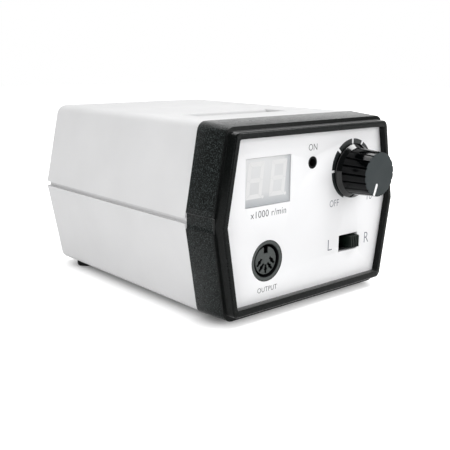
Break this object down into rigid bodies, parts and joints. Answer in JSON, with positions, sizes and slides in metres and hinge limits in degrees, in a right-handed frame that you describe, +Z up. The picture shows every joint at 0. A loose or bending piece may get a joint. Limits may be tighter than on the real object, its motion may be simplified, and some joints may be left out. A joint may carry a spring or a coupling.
{
  "type": "nail drill control unit",
  "caption": "Bench control box of an electric nail drill: white two-part case, black bezel, speed display, fluted knob, round handpiece socket and direction switch.",
  "frame": {"origin": "centre of the bounding box's base, on the surface that the feet stand on", "axes": "+X to the right seen from the front, +Y from the front panel to the rear panel, +Z up"},
  "size_m": [0.11, 0.1516, 0.0815],
  "materials": {
    "white_case": "fine matte moulded white",
    "black_bezel": "spark-textured black",
    "white_panel": "smooth satin white with black printing",
    "display_face": "light grey face with unlit segments",
    "circuit_board": "green solder resist",
    "led_lens": "dark red clear lens, unlit",
    "black_part": "plain moulded black",
    "knob_gloss": "polished black",
    "knob_cap": "matte dark grey disc",
    "pointer": "white inlay",
    "socket_grey": "satin mid grey",
    "slider": "black with a greenish cast",
    "foot_rubber": "matte black rubber",
    "steel": "zinc-plated",
    "laminations": "varnished sheet edges",
    "aluminium": "plain extruded and turned",
    "brass": "plain turned",
    "coil_tape": "yellow polyester tape",
    "fuse_glass": "clear tube"
  },
  "bodies": {
    "root": {"upper_shell": "white_case", "lower_shell": "white_case", "rear_panel": "white_case", "front_bezel": "black_bezel", "front_panel": "white_panel", "display_module": "display_face", "display_board": "circuit_board", "power_led": "led_lens", "led_holder": "black_part", "pot_body": "steel", "pot_switch": "black_part", "pot_washer": "steel", "pot_nut": "steel", "socket_shell": "socket_grey", "socket_insert": "socket_grey", "socket_nut": "steel", "direction_switch_frame": "steel", "direction_switch_body": "black_part", "pedal_switch_frame": "steel", "pedal_switch_body": "black_part", "mains_inlet": "black_part", "inlet_pin_left": "brass", "inlet_pin_right": "brass", "fuse_holder": "black_part", "fuse_nut": "black_part", "pedal_socket": "black_part", "pedal_socket_nut": "steel", "foot_front_left": "foot_rubber", "foot_front_right": "foot_rubber", "foot_rear_left": "foot_rubber", "foot_rear_right": "foot_rubber", "case_screw_front_left": "steel", "case_screw_front_right": "steel", "case_screw_rear_left": "steel", "case_screw_rear_right": "steel", "transformer_core": "laminations", "transformer_coil": "coil_tape", "transformer_strap": "steel", "transformer_screw_left": "steel", "transformer_screw_right": "steel", "control_board": "circuit_board", "board_screw_1": "steel", "board_screw_2": "steel", "heatsink": "aluminium", "power_transistor": "black_part", "filter_capacitor": "black_part", "output_capacitor": "black_part", "bridge_rectifier": "black_part", "terminal_block": "socket_grey"},
    "knob": {"speed_knob": "knob_gloss", "knob_cap": "knob_cap", "knob_pointer": "pointer", "pot_shaft": "aluminium"},
    "direction_slider": {"direction_switch_slider": "slider"},
    "pedal_slider": {"pedal_switch_slider": "slider"},
    "fuse_carrier": {"fuse_cap": "black_part", "glass_fuse": "fuse_glass"}
  },
  "joints": [
    {"name": "speed_turn", "type": "hinge", "parent": "root", "child": "knob", "pos_m": [0.0261, -0.0636, 0.05705], "axis": [0, 1, 0], "range_deg": [0, 300]},
    {"name": "direction_slide", "type": "slide", "parent": "root", "child": "direction_slider", "axis": [-1, 0, 0], "range_m": [0, 0.0056]},
    {"name": "pedal_slide", "type": "slide", "parent": "root", "child": "pedal_slider", "axis": [-1, 0, 0], "range_m": [0, 0.0042]},
    {"name": "fuse_turn", "type": "hinge", "parent": "root", "child": "fuse_carrier", "pos_m": [-0.027, 0.0681, 0.022], "axis": [0, 1, 0], "range_deg": [0, 90]}
  ]
}
